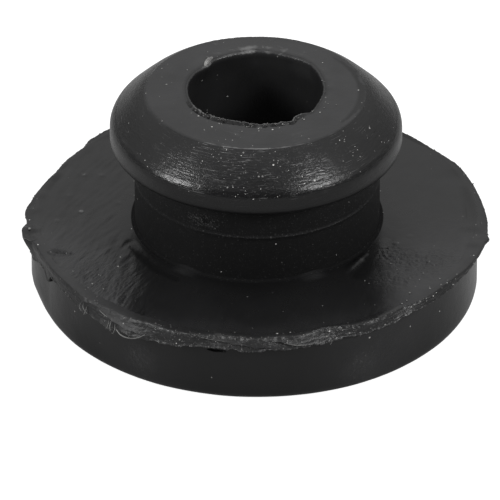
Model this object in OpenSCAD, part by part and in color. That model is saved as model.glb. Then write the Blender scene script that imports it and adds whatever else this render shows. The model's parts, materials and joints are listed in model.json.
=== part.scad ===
// Rubber panel grommet, moulded in one piece.
// A thick round flange stays on one side of the panel, the short neck fills
// the hole in it, and the wider mushroom head is pushed through to hold it.
// A plain bore runs through all three for a stud, tube or cable.
// Millimetres, +Z up, origin at the centre of the flange's underside.

/* [Flange] */
// Diameter of the flange's side wall
flange_d = 22; // [18:0.5:30]
// Thickness of the flange
flange_t = 3.8; // [2.5:0.1:6]
// Rounding of the flange's lower outer edge
flange_edge_r = 0.4; // [0.1:0.1:0.9]

/* [Trimmed lip] */
// Height of the lip of trimmed flash along the flange's upper edge
lip_t = 0.8; // [0.3:0.1:1.5]
// How far the lip stands out from the side wall on average
lip_out = 0.35; // [0.3:0.05:1]
// How far the trimming wanders in and out from that average
lip_wander = 0.24; // [0:0.02:0.26]

/* [Neck] */
// Diameter of the neck, which fills the panel's hole
neck_d = 12.2; // [10:0.1:15]
// Length of the neck, from the flange to the head
neck_len = 4.5; // [2.5:0.1:8]
// Fillet between the neck and the flange
neck_root_r = 0.4; // [0.2:0.1:1]
// How far the mould's parting line lies above the middle of the neck
seam_rise = 0.25; // [-0.2:0.05:0.4]
// How far the parting line stands out of the neck
seam_out = 0.08; // [0.02:0.02:0.2]
// Width of the parting line
seam_w = 0.24; // [0.1:0.02:0.4]

/* [Head] */
// How far the head stands out past the neck all round
head_over = 1.15; // [0.8:0.05:2.5]
// Thickness of the head
head_t = 2.7; // [2:0.1:4]
// Width of the rounded and sloping shoulder around the flat land on top
shoulder_run = 1.9; // [1.2:0.05:2.8]
// Height of the head's straight rim above its underside
rim_h = 0.75; // [0.3:0.05:0.9]
// Rounding between the rim and the slope of the shoulder
rim_r = 0.85; // [0.3:0.05:1]
// Rounding of the head's lower edge
rim_edge_r = 0.2; // [0.05:0.05:0.25]
// Fillet between the head's underside and the neck
under_r = 0.25; // [0.05:0.05:0.3]

/* [Bore] */
// Diameter of the bore
bore_d = 6.8; // [4:0.1:9]
// How far the mould's core pin sat off the centre, towards +Y
bore_shift = 0.4; // [0:0.05:0.6]

/* [Hidden] */
$fn = 180;
ARC_STEPS = 8;
LIP_POINTS = 150;
CUT_SPARE = 1;

flange_r = flange_d / 2;
neck_r = neck_d / 2;
head_r = neck_r + head_over;
land_r = head_r - shoulder_run;
head_z = flange_t + neck_len;
height = head_z + head_t;
seam_z = flange_t + neck_len / 2 + seam_rise;

// Centre of the shoulder's rounding, and the angle around it at which the
// straight slope leaves for the edge of the land
shoulder_x = head_r - rim_r;
shoulder_z = head_z + rim_h;
to_land = [land_r - shoulder_x, height - shoulder_z];
slope_angle = atan2(to_land[1], to_land[0]) - acos(rim_r / norm(to_land));

// Points along an arc about [x, z], from angle a to angle b
function arc(x, z, r, a, b) = [
    for (i = [0 : ARC_STEPS])
        let (t = a + (b - a) * i / ARC_STEPS)
        [x + r * cos(t), z + r * sin(t)]
];

// Half section of the moulding, from the middle of the underside outwards
section = concat(
    [[0, 0]],
    arc(flange_r - flange_edge_r, flange_edge_r, flange_edge_r, -90, 0),
    [[flange_r, flange_t]],
    arc(neck_r + neck_root_r, flange_t + neck_root_r, neck_root_r, 270, 180),
    [[neck_r, seam_z - seam_w / 2]],
    [[neck_r + seam_out, seam_z]],
    [[neck_r, seam_z + seam_w / 2]],
    arc(neck_r + under_r, head_z - under_r, under_r, 180, 90),
    arc(head_r - rim_edge_r, head_z + rim_edge_r, rim_edge_r, -90, 0),
    arc(shoulder_x, shoulder_z, rim_r, 0, slope_angle),
    [[land_r, height]],
    [[0, height]]
);

// Radius of the trimmed lip at an angle: the knife ran off to one side, with
// shorter waves where it was turned and dragged
function lip_wave(a) =
    0.55 * cos(a - 215) + 0.2 * cos(3 * a - 230) + 0.15 * cos(7 * a + 40) + 0.1 * cos(16 * a);
function lip_radius(a) = flange_r + lip_out + lip_wander * lip_wave(a);

module lip() {
    outline = [
        for (i = [0 : LIP_POINTS - 1])
            let (a = 360 * i / LIP_POINTS)
            lip_radius(a) * [cos(a), sin(a)]
    ];
    translate([0, 0, flange_t - lip_t])
        linear_extrude(lip_t)
            polygon(outline);
}

module grommet() {
    color("dimgray")
        difference() {
            union() {
                rotate_extrude()
                    polygon(section);
                lip();
            }
            translate([0, bore_shift, -CUT_SPARE])
                cylinder(d = bore_d, h = height + 2 * CUT_SPARE);
        }
}

grommet();
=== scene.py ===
import json
import math

import bmesh
import bpy
import numpy as np
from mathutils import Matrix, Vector


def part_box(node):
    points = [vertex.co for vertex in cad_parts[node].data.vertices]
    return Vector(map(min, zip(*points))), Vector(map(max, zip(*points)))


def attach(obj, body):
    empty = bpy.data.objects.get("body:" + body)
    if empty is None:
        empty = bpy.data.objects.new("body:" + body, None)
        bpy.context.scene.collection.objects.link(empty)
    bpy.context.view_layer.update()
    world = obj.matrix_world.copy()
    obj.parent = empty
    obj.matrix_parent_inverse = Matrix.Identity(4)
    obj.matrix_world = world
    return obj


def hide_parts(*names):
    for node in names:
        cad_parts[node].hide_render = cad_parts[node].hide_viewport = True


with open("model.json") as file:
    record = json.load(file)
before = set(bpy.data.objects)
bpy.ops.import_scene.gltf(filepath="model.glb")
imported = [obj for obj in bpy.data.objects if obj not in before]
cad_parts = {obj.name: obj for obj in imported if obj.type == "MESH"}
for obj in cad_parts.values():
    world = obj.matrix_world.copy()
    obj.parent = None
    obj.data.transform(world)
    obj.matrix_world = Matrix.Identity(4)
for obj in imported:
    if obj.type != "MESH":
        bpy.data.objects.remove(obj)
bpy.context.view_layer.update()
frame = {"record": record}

MM = 0.001


# ---------------------------------------------------------------------------
# The head, the neck and the bore: the upper part of one moulding in black
# rubber, in a mould that parts round the neck, with a pin for the bore.  Its
# half section is swept round the axis, then given its listed marks.
# ---------------------------------------------------------------------------

bore_mount = next(m for m in frame["record"]["mounts"] if m["kind"] == "bore")
BORE_R = bore_mount["dims"]["r_mm"]
BORE_Y = bore_mount["pos_m"][1] / MM
HEAD_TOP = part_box("grommet")[1][2] / MM
NECK_R = 6.1
NECK_FOOT = 3.3
# Inside the flange the neck steps in to a core, a hair proud underneath.
CORE_R = 4.6
FOOT_PROUD = 0.003
# How far from a sharp edge the next ring of points lies.
EDGE_KEEP = 0.08
SEAM_Z = 6.3
SEAM_OUT = 0.03
SEAM_HALF = 0.055
HEAD_Z = 8.27
HEAD_R = 7.25
UNDER_ROUND = 0.25
RIM_LOW_ROUND = 0.25
RIM_ROUND = 0.85
RIM_H = 0.78
LAND_R = 5.35
LAND_ROUND = 0.06
SHOULDER_CROWN = 0.07
MOUTH_ROUND = 0.08
MOUTH_BURR = 0.045
BURR_WIDE = 0.03
DITCH_OUT = 0.22
DITCH_WIDE = 0.09
BAND_WIDE = 0.78
MOUTH_DITCH = 0.035
EDGE_BURR = 0.012
HEAD_COLUMNS = 800
SEAM_MERGE = 1e-7
UNEVENNESS = 0.02
SWEEP_SEED = 3.7
SHARES = ("torn", "ground", "matte", "dusty", "offset")


def straight(start, end, steps):
    """Points from start up to, but not including, end."""
    share = np.arange(steps)[:, None] / steps
    return np.array(start) + (np.array(end) - np.array(start)) * share


def bend(centre, radius, first, last, steps):
    """Points round a centre, from one angle up to, but not including, another."""
    turn = np.radians(first + (last - first) * np.arange(steps) / steps)
    return np.array(centre) + radius * np.stack([np.cos(turn), np.sin(turn)], axis=1)


def crowned(start, end, height, steps):
    """A run that stands outwards by height at its middle."""
    share = np.arange(steps) / steps
    along = (np.array(end) - np.array(start)) / math.dist(start, end)
    outward = np.array([-along[1], along[0]]) * height
    return straight(start, end, steps) + np.outer(4 * share * (1 - share), outward)


def legs(start, *ends):
    """Straight runs, one after another, each given by its end, its number of
    points and its shares."""
    runs = []
    for end, steps, shares in ends:
        runs.append((straight(start, end, steps), shares))
        start = end
    return runs


def section_mesh(name, runs):
    """A closed half section in the XZ plane.  Each run of points carries the
    shares of torn, ground, matte and dusty rubber, and of the bore's offset,
    each as one number or as a pair that it runs between."""
    mesh = bpy.data.meshes.new(name)
    places = np.concatenate([points for points, shares in runs]) * MM
    mesh.from_pydata([(r, 0, z) for r, z in places], [], [])
    for number, label in enumerate(SHARES):
        spans = [(len(points), np.broadcast_to(shares[number], 2)) for points, shares in runs]
        values = [np.linspace(first, last, count, endpoint=False) for count, (first, last) in spans]
        mesh.attributes.new(label, "FLOAT", "POINT").data.foreach_set("value", np.concatenate(values))
    return mesh


def head_runs():
    """The half section: up the bore, over the mouth, the land and the
    shoulder, down the rim and the neck, into the flange and home."""
    rim = np.array([HEAD_R - RIM_ROUND, HEAD_Z + RIM_H])
    land_edge = np.array([LAND_R, HEAD_TOP])
    reach = math.dist(rim, land_edge)
    lean = math.atan2(*(land_edge - rim)[::-1]) - math.acos(RIM_ROUND / reach)
    slope_foot = rim + RIM_ROUND * np.array([math.cos(lean), math.sin(lean)])
    slope = (slope_foot - land_edge) / math.dist(slope_foot, land_edge)
    slope_head = land_edge + LAND_ROUND * slope
    mouth = (BORE_R + MOUTH_ROUND, HEAD_TOP - MOUTH_ROUND + MOUTH_BURR)
    crest = (mouth[0], HEAD_TOP + MOUTH_BURR)
    crest_end = (crest[0] + BURR_WIDE, crest[1])
    ditch = (BORE_R + DITCH_OUT, HEAD_TOP - MOUTH_DITCH)
    worn = (BORE_R + DITCH_OUT + DITCH_WIDE, HEAD_TOP)
    inner = (BORE_R + BAND_WIDE, HEAD_TOP)
    outer = (LAND_R - 0.3, HEAD_TOP)
    burr = (LAND_R - 0.015, HEAD_TOP + EDGE_BURR)
    rim_low = HEAD_Z + RIM_LOW_ROUND
    neck_top = (NECK_R, HEAD_Z - UNDER_ROUND)
    seam = (NECK_R + SEAM_OUT, SEAM_Z)
    in_bore, on_crest = (0, 0, 0.6, 0.35, 1), (1, 0, 0.5, 0.8, 1)
    under_head, on_neck = (0, 0, 0.9, 0, 0), (0, 0, 0.75, 0, 0)
    at_seam, at_foot = (0.1, 0, 0.6, 0.2, 0), (0, 0, 0.5, 0.2, 0)
    foot_bored = (*at_foot[:4], 1)
    foot_out, foot = CORE_R - EDGE_KEEP, -FOOT_PROUD
    return [
        *legs(
            (BORE_R, 0),
            ((BORE_R, EDGE_KEEP), 1, in_bore),
            ((BORE_R, 9.8), 5, in_bore),
            ((BORE_R, mouth[1]), 9, in_bore),
        ),
        (bend(mouth, MOUTH_ROUND, 180, 90, 5), on_crest),
        *legs(
            crest,
            (crest_end, 2, on_crest),
            (ditch, 1, (0.1, 0, 0.5, 0, 1)),
            (worn, 2, (0, 0, 0.5, (0, 0.7), (1, 0.95))),
            (inner, 8, (0.1, 0.15, 0.35, 1, (0.9, 0.63))),
            (outer, 6, (0, 0.15, 0.35, 1, (0.63, 0))),
            (burr, 4, ((0, 0.1), 0.2, 0.35, 0.95, 0)),
            (slope_head, 2, (0.85, 0.5, 0.3, 0.8, 0)),
        ),
        (crowned(slope_head, slope_foot, SHOULDER_CROWN, 16), (0, 1, 0.2, (0.75, 0.6), 0)),
        (bend(rim, RIM_ROUND, math.degrees(lean), 0, 9), (0, (1.2, 0.5), 0.2, (0.5, 0.15), 0)),
        (straight((HEAD_R, rim[1]), (HEAD_R, rim_low), 3), (0, (0.5, 0.2), 0.25, 0.15, 0)),
        (bend((HEAD_R - RIM_LOW_ROUND, rim_low), RIM_LOW_ROUND, 0, -90, 4), (0, 0, 0.5, 0, 0)),
        *legs((HEAD_R - RIM_LOW_ROUND, HEAD_Z), ((NECK_R + UNDER_ROUND, HEAD_Z), 3, under_head)),
        (bend((NECK_R + UNDER_ROUND, neck_top[1]), UNDER_ROUND, 90, 180, 4), under_head),
        *legs(
            neck_top,
            ((NECK_R, SEAM_Z + SEAM_HALF), 14, (0.03, *on_neck[1:])),
            (seam, 2, at_seam),
            ((NECK_R, SEAM_Z - SEAM_HALF), 2, at_seam),
            ((NECK_R, NECK_FOOT), 14, on_neck),
            ((CORE_R, NECK_FOOT), 1, on_neck),
            ((CORE_R, EDGE_KEEP), 1, at_foot),
            ((foot_out, foot), 1, at_foot),
            ((foot_out - EDGE_KEEP, foot), 1, at_foot),
            ((BORE_R + 2 * EDGE_KEEP, foot), 1, (*at_foot[:4], (0, 1))),
            ((BORE_R + EDGE_KEEP, foot), 1, foot_bored),
            ((BORE_R, 0), 1, foot_bored),
        ),
    ]


def put(tree, kind, inputs=None, **settings):
    """Adds a node with its settings, and fills its inputs with values or with
    links from other nodes' outputs."""
    node = tree.nodes.new(kind)
    for name, value in settings.items():
        setattr(node, name, value)
    for key, value in (inputs or {}).items():
        if isinstance(value, bpy.types.NodeSocket):
            tree.links.new(value, node.inputs[key])
        else:
            node.inputs[key].default_value = value
    return node


def reckon(tree, operation, *values):
    """A Math node's output, from up to three values or outputs."""
    return put(tree, "ShaderNodeMath", dict(enumerate(values)), operation=operation).outputs[0]


def times(tree, one, other):
    """The product of two values or outputs."""
    return reckon(tree, "MULTIPLY", one, other)


def layered(tree, value, *layers):
    """A value with others added on top, each by its weight."""
    for layer, weight in layers:
        value = reckon(tree, "MULTIPLY_ADD", layer, weight, value)
    return value


def split(tree, place):
    """A place's x, y and z, and how far out from the axis it lies."""
    x, y, z = put(tree, "ShaderNodeSeparateXYZ", {0: place}).outputs
    return x, y, z, reckon(tree, "SQRT", layered(tree, times(tree, y, y), (x, x)))


def combined(tree, x, y, z):
    """A place from its x, y and z."""
    return put(tree, "ShaderNodeCombineXYZ", {"X": x, "Y": y, "Z": z}).outputs[0]


def node_group(kind, name, inputs, outputs):
    """An empty node group whose inputs and outputs are named, each with its
    kind; gives the tree, its input sockets and its output node's sockets."""
    tree = bpy.data.node_groups.new(name, kind + "NodeTree")
    for way, sockets in (("INPUT", inputs), ("OUTPUT", outputs)):
        for label, socket in sockets.items():
            tree.interface.new_socket(label, in_out=way, socket_type="NodeSocket" + socket)
    return tree, tree.nodes.new("NodeGroupInput").outputs, tree.nodes.new("NodeGroupOutput").inputs


def noise(tree, place, scale, detail=2.0, rough=0.5, **extra):
    """Noise from about -1 to 1, at a place in millimetres."""
    inputs = {"Vector": place, "Scale": scale, "Detail": detail, "Roughness": rough, **extra}
    kind = "4D" if "W" in extra else "3D"
    source = put(tree, "ShaderNodeTexNoise", inputs, noise_dimensions=kind)
    return reckon(tree, "MULTIPLY_ADD", source.outputs[0], 2.0, -1.0)


def sweep_tree():
    """Sweeps a half section round the Z axis into a closed skin, and gives it
    the slow unevenness of moulded rubber and the ridged relief of torn rubber."""
    sizes = ("Bore offset", "Unevenness", "Tear ridges", "Tear grain", "Tear length", "Seed")
    inputs = {"Section": "Geometry", "Columns": "Int", **dict.fromkeys(sizes, "Float"), "Rubber": "Material"}
    tree, given, made = node_group("Geometry", "swept_rubber", inputs, {"Skin": "Geometry"})

    size = put(tree, "GeometryNodeAttributeDomainSize", {"Geometry": given["Section"]})
    rows = size.outputs["Point Count"]
    closed_rows = reckon(tree, "ADD", rows, 1)
    closed_columns = reckon(tree, "ADD", given["Columns"], 1)
    grid = put(tree, "GeometryNodeMeshGrid", {"Vertices X": closed_columns, "Vertices Y": closed_rows})
    index = put(tree, "GeometryNodeInputIndex").outputs[0]
    column = reckon(tree, "FLOOR", reckon(tree, "DIVIDE", index, closed_rows))
    step = reckon(tree, "SUBTRACT", index, times(tree, column, closed_rows))
    row = reckon(tree, "MODULO", step, rows)
    turn = times(tree, column, reckon(tree, "DIVIDE", math.tau, given["Columns"]))

    def at_row(kind, value):
        inputs = {"Geometry": given["Section"], "Value": value, "Index": row}
        sample = put(tree, "GeometryNodeSampleIndex", inputs, data_type=kind, domain="POINT")
        return sample.outputs[0]

    def share(label):
        return put(tree, "GeometryNodeInputNamedAttribute", {"Name": label}, data_type="FLOAT").outputs[0]

    position = put(tree, "GeometryNodeInputPosition").outputs[0]
    place = put(tree, "ShaderNodeSeparateXYZ", {0: at_row("FLOAT_VECTOR", position)}).outputs
    offset = times(tree, at_row("FLOAT", share("offset")), given["Bore offset"])
    swept_x = times(tree, place["X"], reckon(tree, "COSINE", turn))
    swept_y = layered(tree, offset, (place["X"], reckon(tree, "SINE", turn)))
    swept = {"Geometry": grid.outputs["Mesh"], "Position": combined(tree, swept_x, swept_y, place["Z"])}
    skin = put(tree, "GeometryNodeSetPosition", swept)
    for label in SHARES:
        stored = {"Geometry": skin.outputs[0], "Name": label, "Value": at_row("FLOAT", share(label))}
        skin = put(tree, "GeometryNodeStoreNamedAttribute", stored, data_type="FLOAT", domain="POINT")
    joined = put(tree, "GeometryNodeMergeByDistance", {"Geometry": skin.outputs[0], "Distance": SEAM_MERGE})

    scaled = {0: position, 1: (1 / MM,) * 3}
    apart = put(tree, "ShaderNodeVectorMath", scaled, operation="MULTIPLY").outputs[0]
    x, y, z, out = split(tree, apart)
    drawn_x, drawn_y = (reckon(tree, "DIVIDE", side, given["Tear length"]) for side in (x, y))
    drawn = combined(tree, drawn_x, drawn_y, reckon(tree, "ADD", z, given["Seed"]))
    slow = noise(tree, apart, 0.35, W=given["Seed"])
    fold = noise(tree, drawn, 1.6, 3.0, W=out, Distortion=0.4)
    grain = noise(tree, apart, 7.0, 3.0, 0.6, W=given["Seed"])
    ridge = layered(tree, 0.6, (reckon(tree, "ABSOLUTE", fold), -2.0))
    relief = layered(tree, times(tree, ridge, given["Tear ridges"]), (grain, given["Tear grain"]))
    relief = layered(tree, times(tree, relief, share("torn")), (slow, given["Unevenness"]))
    normal = put(tree, "GeometryNodeInputNormal").outputs[0]
    outward = put(tree, "ShaderNodeVectorMath", {0: normal, "Scale": relief}, operation="SCALE")
    worn = put(tree, "GeometryNodeSetPosition", {"Geometry": joined.outputs[0], "Offset": outward.outputs[0]})
    whole = put(tree, "GeometryNodeRealizeInstances", {"Geometry": worn.outputs[0]})
    smooth = put(tree, "GeometryNodeSetShadeSmooth", {"Geometry": whole.outputs[0]})
    done = put(tree, "GeometryNodeSetMaterial", {"Geometry": smooth.outputs[0], "Material": given["Rubber"]})
    tree.links.new(done.outputs[0], made["Skin"])
    return tree


def placed(name, data):
    """A new object in the scene, at the origin."""
    made = bpy.data.objects.new(name, data)
    bpy.context.scene.collection.objects.link(made)
    return made


def grown(name, mesh, tree, values):
    """An object whose mesh is what a node tree makes of a first mesh, as a
    plain mesh with no modifier left on it."""
    piece = placed(name, mesh)
    work = piece.modifiers.new("work", "NODES")
    work.node_group = tree
    for socket in tree.interface.items_tree:
        if socket.in_out == "INPUT" and socket.name in values:
            work[socket.identifier] = values[socket.name]
    bpy.context.view_layer.update()
    finished = piece.evaluated_get(bpy.context.evaluated_depsgraph_get())
    result = bpy.data.meshes.new_from_object(finished)
    piece.modifiers.remove(work)
    piece.data = result
    result.name = name
    return piece


def swept(name, runs, columns, rubber, offset=0.0, ridges=0.0, grain=0.0, length=1.5):
    """A piece swept from a half section.  Where it is torn, its ridges and its
    grain stand this tall, and the tear is drawn out by the length."""
    return grown(name, section_mesh(name + "_section", runs), sweep, {
        "Columns": columns,
        "Bore offset": offset * MM,
        "Unevenness": UNEVENNESS * MM,
        "Tear ridges": ridges * MM,
        "Tear grain": grain * MM,
        "Tear length": length,
        "Seed": SWEEP_SEED,
        "Rubber": rubber,
    })


def follow(turn, pairs):
    """Reads a value off a closed outline of (degrees, value) pairs."""
    degrees, values = zip(*pairs)
    return np.interp(turn, degrees, values, period=360)


def ripple(turn, counts, seed):
    """A closed ripple round the axis, from about -1 to 1."""
    angle = np.radians(turn)
    waves = [np.sin(count * angle + seed * count) for count in counts]
    return sum(waves) / math.sqrt(len(counts))


def swell(value, centre, half):
    """1 at the centre, easing to 0 at half a width either side."""
    return np.clip(1 - ((value - centre) / half) ** 2, 0, 1) ** 2


def bump_round(turn, centre, half):
    """The same round the axis, in degrees, across 0 too."""
    return swell((turn - centre + 180) % 360 - 180, 0, half)


def rise(value, low, high):
    """0 up to low, easing to 1 from high on."""
    share = np.clip((value - low) / (high - low), 0, 1)
    return share * share * (3 - 2 * share)


def beside(x, y, start, end):
    """How far points lie from a straight stroke, in plan."""
    start, end = np.array(start), np.array(end)
    along = end - start
    share = ((x - start[0]) * along[0] + (y - start[1]) * along[1]) / (along @ along)
    share = np.clip(share, 0, 1)
    return np.hypot(x - start[0] - share * along[0], y - start[1] - share * along[1])


def points_of(mesh):
    """A mesh's points in millimetres, with their angles and radii."""
    flat = np.empty(len(mesh.vertices) * 3)
    mesh.vertices.foreach_get("co", flat)
    x, y, z = flat.reshape(-1, 3).T / MM
    return x, y, z, np.degrees(np.arctan2(y, x)) % 360, np.hypot(x, y)


def share_of(mesh, label):
    """A share that a mesh's points carry."""
    values = np.empty(len(mesh.vertices))
    mesh.attributes[label].data.foreach_get("value", values)
    return values


def give_share(mesh, label, values):
    """Gives a mesh's points a share, new or in place of the old one."""
    if label not in mesh.attributes:
        mesh.attributes.new(label, "FLOAT", "POINT")
    mesh.attributes[label].data.foreach_set("value", values)


def moved_to(mesh, *places):
    """Puts a mesh's points at new places, in millimetres."""
    mesh.vertices.foreach_set("co", (np.stack(places, axis=1) * MM).ravel())
    mesh.update()


# Round the bore's mouth, how far the torn edge stands from a true circle.
MOUTH_EDGE = [
    (0, -0.09), (18, -0.07), (30, 0.02), (40, 0.13), (50, 0.12), (65, 0.04), (90, 0.1), (102, -0.04),
    (128, -0.04), (138, -0.23), (146, -0.2), (154, -0.1), (170, -0.05), (188, -0.03), (205, 0.05),
    (215, 0.1), (230, 0.08), (242, -0.03), (256, -0.14), (272, 0.03), (290, 0.03), (299, 0.21),
    (305, -0.12), (312, -0.1), (320, 0.11), (332, -0.05), (345, -0.1),
]
# How worn and pale the mouth's edge is, by angle.
MOUTH_WEAR = [
    (0, 0.15), (30, 0.1), (60, 0.1), (85, 0.35), (105, 0.45), (124, 0.2), (136, 0.9), (148, 0.1),
    (200, 0.1), (212, 0.9), (222, 1.5), (262, 1.4), (300, 1.2), (325, 0.4), (345, 0.3),
]
# How much of its thin upstanding burr is left, and of the gap behind it.
MOUTH_CREST = [(0, 0.3), (40, 0), (180, 0), (205, 0.5), (218, 1), (300, 1), (318, 0.5)]
MOUTH_GAP = [
    (0, 0), (200, 0), (213, 1.5), (228, 1.1), (262, 1.3), (272, 0.3), (288, 0.7), (300, 0.5), (320, 0),
]
GAP_DEEP = 0.085
# How far its fine fraying goes outwards and up.
FRAY_OUT = 0.022
FRAY_UP = 0.02
# The swollen band behind the mouth and to its right: how tall it is.
MOUTH_BAND = [
    (0, 0.04), (30, 0.02), (60, 0.04), (95, 0.07), (130, 0.08), (150, 0.02), (200, 0), (300, 0),
    (330, 0.03),
]
# How scratched the shoulder is, round it; and how pale a dusty colour the
# shoulder and rim are given, only at the front: a painted reflection, not dust.
SCRATCHED = [
    (0, 0.05), (180, 0.05), (215, 0.12), (240, 0.5), (255, 0.95), (285, 0.95), (300, 0.5), (325, 0.2),
    (345, 0.1),
]
SHOULDER_PAINTED_SHEEN = [
    (0, 0), (200, 0), (225, 0.1), (245, 0.45), (262, 0.55), (278, 0.55), (295, 0.45), (315, 0.1), (335, 0),
]
# How worn the land's outer edge is, and how far it stands from a true circle.
EDGE_WEAR = [
    (0, 0.2), (90, 0.1), (180, 0.2), (232, 0.4), (245, 0.85), (270, 1.0), (288, 0.9), (305, 0.5),
    (330, 0.3),
]
LAND_EDGE = [(0, 0.1), (45, 0.1), (90, 0), (135, 0.08), (180, 0.1), (225, 0.04), (270, 0), (315, 0.03)]
# The head leans: how far its middle lies off to -X, and how steeply its top
# falls towards +X.
HEAD_SHIFT = -0.06
HEAD_DROP = 0.005
# How much of the parting line shows round the neck.
SEAM_LEFT = [
    (0, 0.4), (90, 0.6), (180, 0.4), (212, 0.1), (236, 0.1), (252, 0.8), (275, 1.0), (318, 0.8), (335, 0.2),
]
# The neck's one scuff: its angle, its height, and how rough it is.
SCUFF_TURN = 243
SCUFF_Z = 6.95
SCUFF_OUT = 0.03
# Pits in the neck: angle, height, half angle, half height and depth.
NECK_PITS = [(246.5, 6.86, 4.0, 0.12, 0.16), (240.5, 7.12, 3.0, 0.08, 0.08), (238.0, 6.75, 2.2, 0.08, 0.08)]


def turned_out(x, y, turn, step):
    """Moves points outwards by a step, each along its own angle."""
    x += step * np.cos(np.radians(turn))
    y += step * np.sin(np.radians(turn))


def mark_head(mesh):
    """The marks of this one moulding: a leaning head, a ragged mouth with a
    thin burr at its front, a broken parting line and pits in the neck.  The
    front of its shoulder and rim is painted paler, a painted reflection."""
    x, y, z, turn, out = points_of(mesh)
    bore_turn = np.degrees(np.arctan2(y - BORE_Y, x)) % 360
    bore_out = np.hypot(x, y - BORE_Y)

    at_mouth = rise(z, HEAD_TOP - 0.25, HEAD_TOP)
    over_land = 1 - rise(bore_out, BORE_R + 0.1, BORE_R + 0.9)
    down_bore = rise(z, HEAD_TOP - 1.0, HEAD_TOP - 0.03)
    on_edge = rise(z, HEAD_TOP - 0.1, HEAD_TOP + 0.02) * (bore_out < BORE_R + 0.19)
    z -= MOUTH_BURR * (1 - follow(bore_turn, MOUTH_CREST)) * on_edge
    in_gap = (z > HEAD_TOP - 0.5) * (bore_out > BORE_R + 0.19) * (bore_out < BORE_R + 0.3)
    gap = follow(bore_turn, MOUTH_GAP) * (0.75 + 0.6 * ripple(bore_turn, (17, 31, 53), 0.3))
    level = np.maximum(HEAD_TOP - z, 0) * (1 - np.clip(2 * gap, 0, 1))
    z += (level - GAP_DEEP * np.clip(gap, 0, 2)) * in_gap
    lumps = 0.65 + 0.5 * ripple(bore_turn, (5, 9, 16, 27), 1.2)
    z += follow(bore_turn, MOUTH_BAND) * lumps * swell(bore_out, BORE_R + 0.3, 0.4) * (z > HEAD_TOP - 0.3)
    frayed = at_mouth * (0.15 + follow(bore_turn, MOUTH_CREST))
    ragged = follow(bore_turn, MOUTH_EDGE) + FRAY_OUT * frayed * ripple(turn, (31, 53, 79, 127), 0.9)
    turned_out(x, y, bore_turn, ragged * down_bore * over_land * (z > 9))
    z += FRAY_UP * on_edge * frayed * ripple(bore_turn, (5, 11, 23, 47), 2.3)

    on_neck = (z < 8.0) * (out > 5.5) * (out < 7)
    at_seam = swell(z, SEAM_Z, SEAM_HALF) * on_neck
    thrown = np.clip(follow(turn, SEAM_LEFT) + 0.15 * ripple(turn, (9, 17, 31), 1.7), 0, 1.2) - 1
    scuffed = swell(z, SCUFF_Z, 0.6) * swell(turn, SCUFF_TURN, 13) * on_neck
    neck_out = SEAM_OUT * thrown * at_seam + SCUFF_OUT * scuffed * ripple(turn * 1.3 + z * 9, (29, 53), 0.4)
    for centre, height, half, tall, deep in NECK_PITS:
        neck_out -= deep * swell(turn, centre, half) * swell(z, height, tall) * on_neck
    turned_out(x, y, turn, neck_out)

    raised = rise(z, 7.8, 8.4)
    x += HEAD_SHIFT * raised
    z -= HEAD_DROP * x * raised
    turned_out(x, y, turn, follow(turn, LAND_EDGE) * swell(out, LAND_R + 0.1, 1.2) * (z > 9.7))
    moved_to(mesh, x, y, z)

    torn = share_of(mesh, "torn")
    at_edge = (z > HEAD_TOP - 0.6) * (out > LAND_R - 0.5)
    torn *= np.where(at_edge, follow(turn, EDGE_WEAR), 1)
    torn *= np.where(down_bore * over_land > 0, follow(bore_turn, MOUTH_WEAR), 1)
    on_land = (z > HEAD_TOP - 0.2) * (out < LAND_R)
    band = follow(bore_turn, MOUTH_BAND) * swell(bore_out, BORE_R + 0.35, 0.5) * np.clip(lumps, 0, 2)
    torn += on_land * (8 * band + 0.35 * rise(y, 1, 5))
    give_share(mesh, "torn", torn + 0.2 * scuffed * (out > 5.9))
    ground = share_of(mesh, "ground")
    on_shoulder = (ground > 0.17) * (z < HEAD_TOP - 0.02)
    land_dust = 0.8 + 0.2 * rise(y, -5, 0)
    dusty = np.maximum(share_of(mesh, "dusty"), 0.85 * in_gap * (1 - np.clip(2 * gap, 0, 1)))
    # On the shoulder and rim the dusty colour is a painted reflection, pale at the front only.
    give_share(mesh, "dusty", dusty * np.where(on_shoulder, follow(turn, SHOULDER_PAINTED_SHEEN), land_dust))
    give_share(mesh, "scraped", ground * follow(turn, SCRATCHED) * (0.15 + 0.85 * rise(z, 9.0, 9.5)))
    broken = np.clip(0.8 + 0.6 * ripple(bore_turn, (13, 29, 47, 71), 0.8), 0, 1)
    give_share(mesh, "burred", on_edge * broken * follow(bore_turn, MOUTH_WEAR) * (z > HEAD_TOP - 0.02))


moulded_rubber = bpy.data.materials.new("moulded_rubber")
sweep = sweep_tree()
head = swept("head_neck_and_bore", head_runs(), HEAD_COLUMNS, moulded_rubber, BORE_Y, 0.02, 0.025)
mark_head(head.data)


def rubber_grain_group():
    """The skin of moulded rubber: fine grain, soft mottles and wear blotches."""
    inputs = {"Place": "Vector", "Grain size": "Float", "Mottle size": "Float"}
    outputs = dict.fromkeys(("Grain", "Mottle", "Blotch"), "Float")
    tree, given, made = node_group("Shader", "rubber_grain", inputs, outputs)
    grain_scale = reckon(tree, "DIVIDE", 1.0, given["Grain size"])
    mottle_scale = reckon(tree, "DIVIDE", 1.0, given["Mottle size"])
    tree.links.new(noise(tree, given["Place"], grain_scale, 3.0, 0.6), made["Grain"])
    tree.links.new(noise(tree, given["Place"], mottle_scale, 3.0, 0.55), made["Mottle"])
    blotch = noise(tree, given["Place"], times(tree, mottle_scale, 0.3), 4.0, 0.6)
    tree.links.new(layered(tree, 0.5, (blotch, 0.9)), made["Blotch"])
    return tree


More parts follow.
